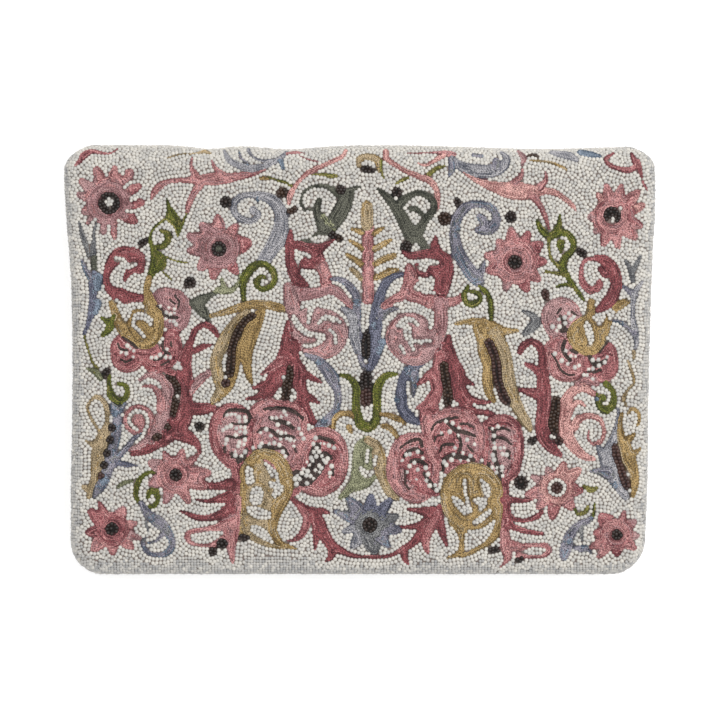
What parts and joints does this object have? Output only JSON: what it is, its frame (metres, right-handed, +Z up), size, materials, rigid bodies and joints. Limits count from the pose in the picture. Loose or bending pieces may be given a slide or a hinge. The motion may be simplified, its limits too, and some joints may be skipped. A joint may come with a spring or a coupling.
{
  "type": "beaded clutch bag",
  "caption": "Full-flap evening clutch with a beaded and embroidered flap folded over a plain beaded back, a silk pocket front, pleated gussets and a hidden press stud.",
  "frame": {"origin": "on the surface the clutch lies on, under the middle of its outline", "axes": "+X across the width to the right, +Y towards the fold, +Z up through the flap"},
  "size_m": [0.228, 0.166, 0.02],
  "materials": {
    "beaded_flap": "cloth covered with white glass seed beads and chain-stitched silk",
    "beaded_back": "cloth covered with plain white glass seed beads",
    "silk": "doubled satin silk",
    "stud_metal": "satin"
  },
  "bodies": {
    "root": {"back_panel": "beaded_back", "flap": "beaded_flap", "pocket_front": "silk", "gusset_left": "silk", "gusset_right": "silk", "press_stud": "stud_metal"}
  },
  "joints": []
}
